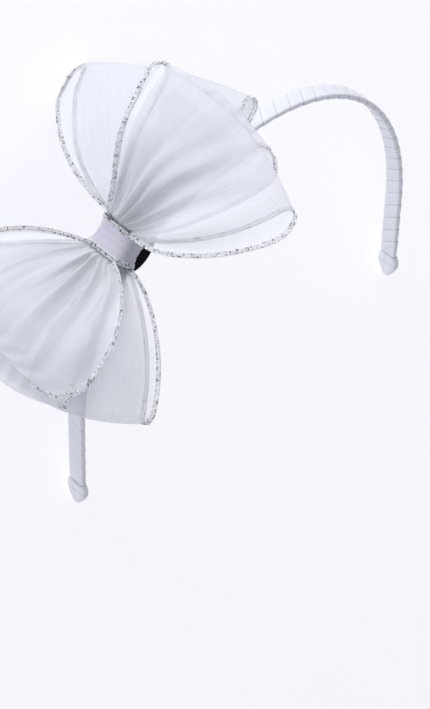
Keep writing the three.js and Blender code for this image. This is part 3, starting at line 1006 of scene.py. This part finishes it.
def silver_edging(name, grid, material):
    """Stitches silver thread along both edges of a ribbon, as one piece."""
    threads = []
    for edge, inner in ((0, 2), (-1, -3)):
        threads += edging_threads(grid[:, edge], unit(grid[:, inner] - grid[:, edge]))
    return dressed(closed_grids(f"silver_edging_{name}", threads), material, "organza")


class HEADBAND_OT_bow_tiers(bpy.types.Operator):
    """Tie the three organza rings and stitch the silver edging along both their edges"""

    bl_idname = "headband.bow_tiers"
    bl_label = "Bow tiers"

    def execute(self, context):
        size = sizes()
        silver = silver_finish()
        names = ("back", "middle", "front")
        for index, name in enumerate(names):
            grid, across = tier_grid(index)
            width = size.narrow_width if name == "middle" else size.ribbon_width
            chart, length = ribbon_chart(grid, across, width)
            run = np.concatenate([loop_stations(is_upper)[0] for is_upper in (True, False)])
            # Painted light near the knot, fading along the run of each loop
            knot_painted_light = np.broadcast_to(np.exp(-run / KNOT_LIGHT_SHARE)[:, None], grid.shape[:2])
            piece = surface(f"organza_{name}", grid, wrap_rows=True, chart=chart, painted_shading=knot_painted_light)
            material = organza_finish(f"organza_{name}", colours().organza, 0.36, 0.54)
            dressed(piece, material, "organza", TIERS[index]["node"])
            edging = silver_edging(name, grid, silver)
        return {"FINISHED"}


class HEADBAND_OT_centre_wrap(bpy.types.Operator):
    """Wrap the gathered middle: a full-cornered oval ring that flares towards its two
    silver edges, with a few folds that run round it"""

    bl_idname = "headband.centre_wrap"
    bl_label = "Centre wrap"

    def execute(self, context):
        lowest = KNOT_FLOOR + KNOT_SADDLE
        top = LOWEST_LAYER + 5 * LAYER_PITCH + 2 * (TIER_GAP - FIT_GAP)
        highest = top + GATHERED_WALL / 2 + PLEAT_DEPTH + FIT_GAP + KNOT_WALL
        half_width = PINCH_WIDTH / 2 + GATHERED_WALL / 2 + FIT_GAP + KNOT_WALL + KNOT_ROOM
        half_height = (highest - lowest) / 2
        turn = np.linspace(0, 2 * np.pi, WRAP_ROWS, endpoint=False)
        place = np.linspace(-1, 1, WRAP_COLUMNS)
        turns, places = np.meshgrid(turn, place, indexing="ij")
        folds = 0.05 * np.cos(3.5 * np.pi * places + 0.5 * np.sin(2 * turns))
        folds = folds * (1 - places**6) + 0.02 * np.cos(9 * np.pi * places) * (1 - places**4)
        growth = KNOT_SADDLE * places**2 - KNOT_WALL / 2 + folds

        def swell(value):
            return np.sign(value) * np.abs(value) ** KNOT_FULLNESS

        rearward = (half_width + growth) * swell(np.cos(turns))
        out = (highest + lowest) / 2 + (half_height + growth) * swell(np.sin(turns))
        grid = at_rest(from_knot(places * KNOT_LENGTH / 2, rearward, out))
        ring = np.linalg.norm(np.diff(grid[:, WRAP_COLUMNS // 2], axis=0), axis=1).sum()
        chart = np.empty((WRAP_ROWS + 1, WRAP_COLUMNS, 2))
        chart[..., 0] = place * WRAP_CHART_WIDTH / 2
        chart[..., 1] = np.linspace(0, ring, WRAP_ROWS + 1)[:, None]
        piece = surface("organza_wrap", grid, wrap_rows=True, chart=chart)
        # The darker wrap colour is painted shade on the knot
        material = organza_finish("organza_wrap", colours().wrap, 0.86, 0.97)
        dressed(piece, material, "organza", "centre_wrap")
        edging = silver_edging("wrap", grid, silver_finish())
        return {"FINISHED"}


class HEADBAND_OT_stage(bpy.types.Operator):
    """Set the pale floor, the soft studio light and the camera"""

    bl_idname = "headband.stage"
    bl_label = "Stage"

    def execute(self, context):
        scene = context.scene
        tone = colours().floor

        def make(start):
            place = start.add("ShaderNodeTexCoord", output=3)
            noise = start.add("ShaderNodeTexNoise", {"Vector": place, "Scale": 3.0, "Detail": 2.0})
            shade = noise.tint(colour(tone, 0.995), colour(tone, 1.005))
            return {"Base Color": shade, "Emission Color": shade}

        corners = [[(x, y, 0) for x in (-FLOOR_HALF, FLOOR_HALF)] for y in (-FLOOR_HALF, FLOOR_HALF)]
        floor = surface("floor", np.array(corners, dtype=float))
        floor.data.materials.append(
            finish("pale_floor", {"Roughness": 0.9, "Emission Strength": 0.42}, make)
        )

        world = bpy.data.worlds.new("studio")
        scene.world = world
        world.use_nodes = True
        sky = world.node_tree.nodes["Background"]
        sky.inputs["Color"].default_value = (0.96, 0.97, 1.0, 1)
        sky.inputs["Strength"].default_value = WORLD_STRENGTH
        scene.view_settings.view_transform = "Standard"
        scene.view_settings.look = "None"

        place, turn = camera_place()
        way = turn @ Vector(LAMP_WAY)
        light = bpy.data.lights.new("key", "AREA")
        light.size = LAMP_SIZE
        light.energy = LAMP_POWER
        lamp = bpy.data.objects.new("key", light)
        lamp.location = Vector((0, 0, BOW_HEIGHT)) + way.normalized() * LAMP_DISTANCE
        lamp.rotation_euler = way.to_track_quat("Z", "Y").to_euler()
        scene.collection.objects.link(lamp)

        lens = bpy.data.cameras.new("camera")
        lens.sensor_fit = "VERTICAL"
        lens.sensor_height = SENSOR_HEIGHT
        lens.lens = SENSOR_HEIGHT * FOCAL_LENGTH / PHOTO_HEIGHT
        lens.shift_x = -SHIFT_LEFT / PHOTO_HEIGHT
        lens.shift_y = -SHIFT_DOWN / PHOTO_HEIGHT
        lens.clip_end = 20
        camera = bpy.data.objects.new("camera", lens)
        camera.matrix_world = Matrix.Translation(place) @ turn.to_4x4()
        scene.collection.objects.link(camera)
        scene.camera = camera
        return {"FINISHED"}


def camera_place():
    """Where the camera stands and how it is turned, from the angle that the arch is
    seen at: azimuth about the crown's line, height over the arch's plan and roll."""
    azimuth, height, roll = np.radians([VIEW_AZIMUTH, VIEW_HEIGHT, VIEW_ROLL])
    back = np.array([
        np.sin(azimuth) * np.cos(height), -np.cos(azimuth) * np.cos(height), np.sin(height),
    ])
    right = np.array([np.cos(azimuth), np.sin(azimuth), 0.0])
    up = np.cross(back, right)
    across = np.cos(roll) * right + np.sin(roll) * up
    upward = -np.sin(roll) * right + np.cos(roll) * up

    def in_part(vector):
        return at_rest(np.array([vector[0], vector[2], -vector[1]]))

    axes = [in_part(axis) / MM - REST_SHIFT for axis in (across, upward, back)]
    turn = Matrix([Vector(axis) for axis in axes]).transposed()
    return Vector(in_part(VIEW_DISTANCE * back)), turn


class HEADBAND_PT_panel(bpy.types.Panel):
    """Sizes, colours and the pieces"""

    bl_label = "Bow headband"
    bl_idname = "HEADBAND_PT_panel"
    bl_space_type = "VIEW_3D"
    bl_region_type = "UI"
    bl_category = "Headband"

    def draw(self, context):
        for group in (sizes(), colours()):
            for name in group.__annotations__:
                self.layout.prop(group, name)
        for operator in OPERATORS:
            self.layout.operator(operator.bl_idname)


OPERATORS = (
    HEADBAND_OT_wound_band,
    HEADBAND_OT_end_caps,
    HEADBAND_OT_felt_pad,
    HEADBAND_OT_bow_tiers,
    HEADBAND_OT_centre_wrap,
    HEADBAND_OT_stage,
)

CLASSES = (HeadbandSizes, HeadbandColours, *OPERATORS, HEADBAND_PT_panel)


def register():
    for item in CLASSES:
        bpy.utils.register_class(item)
    bpy.types.Scene.headband_sizes = PointerProperty(type=HeadbandSizes)
    bpy.types.Scene.headband_colours = PointerProperty(type=HeadbandColours)


def unregister():
    del bpy.types.Scene.headband_colours
    del bpy.types.Scene.headband_sizes
    for item in reversed(CLASSES):
        bpy.utils.unregister_class(item)


def main():
    register()
    for operator in OPERATORS:
        group, name = operator.bl_idname.split(".")
        getattr(getattr(bpy.ops, group), name)()


if __name__ == "__main__":
    main()
